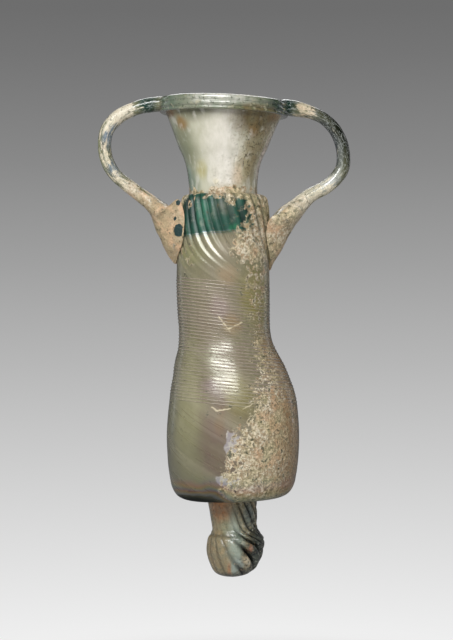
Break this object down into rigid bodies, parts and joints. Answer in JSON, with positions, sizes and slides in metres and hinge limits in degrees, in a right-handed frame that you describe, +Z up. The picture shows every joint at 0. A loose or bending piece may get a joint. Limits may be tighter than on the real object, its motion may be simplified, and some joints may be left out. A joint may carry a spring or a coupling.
{
  "type": "amphoriskos",
  "caption": "Small ancient bottle of blown glass with a funnel mouth, ribbed collar, waisted body, wound thread, looped handles and a knobbed toe.",
  "frame": {"origin": "lowest point of the toe, on the axis of the toe and the lower body", "axes": "+Z up the toe's axis towards the mouth, +X through the right handle in the front view, +Y away from the front view"},
  "size_m": [0.0903, 0.0474, 0.1718],
  "materials": {
    "body_glass": "weathered, silky, with a purple and gold sheen and tan crust",
    "flask_glass": "pale greenish, glossy, stained brown in places",
    "rim_glass": "grey green, glossy, pitted",
    "thread_glass": "weathered like the body",
    "handle_glass": "green glass under cream and tan crust",
    "toe_glass": "dark green, glossy on the ribs, crust in the valleys"
  },
  "bodies": {
    "root": {"inner_flask": "flask_glass", "ribbed_sheath": "body_glass", "rim_band": "rim_glass", "thread_trail": "thread_glass", "left_handle": "handle_glass", "right_handle": "handle_glass", "toe_knob": "toe_glass"}
  },
  "joints": []
}
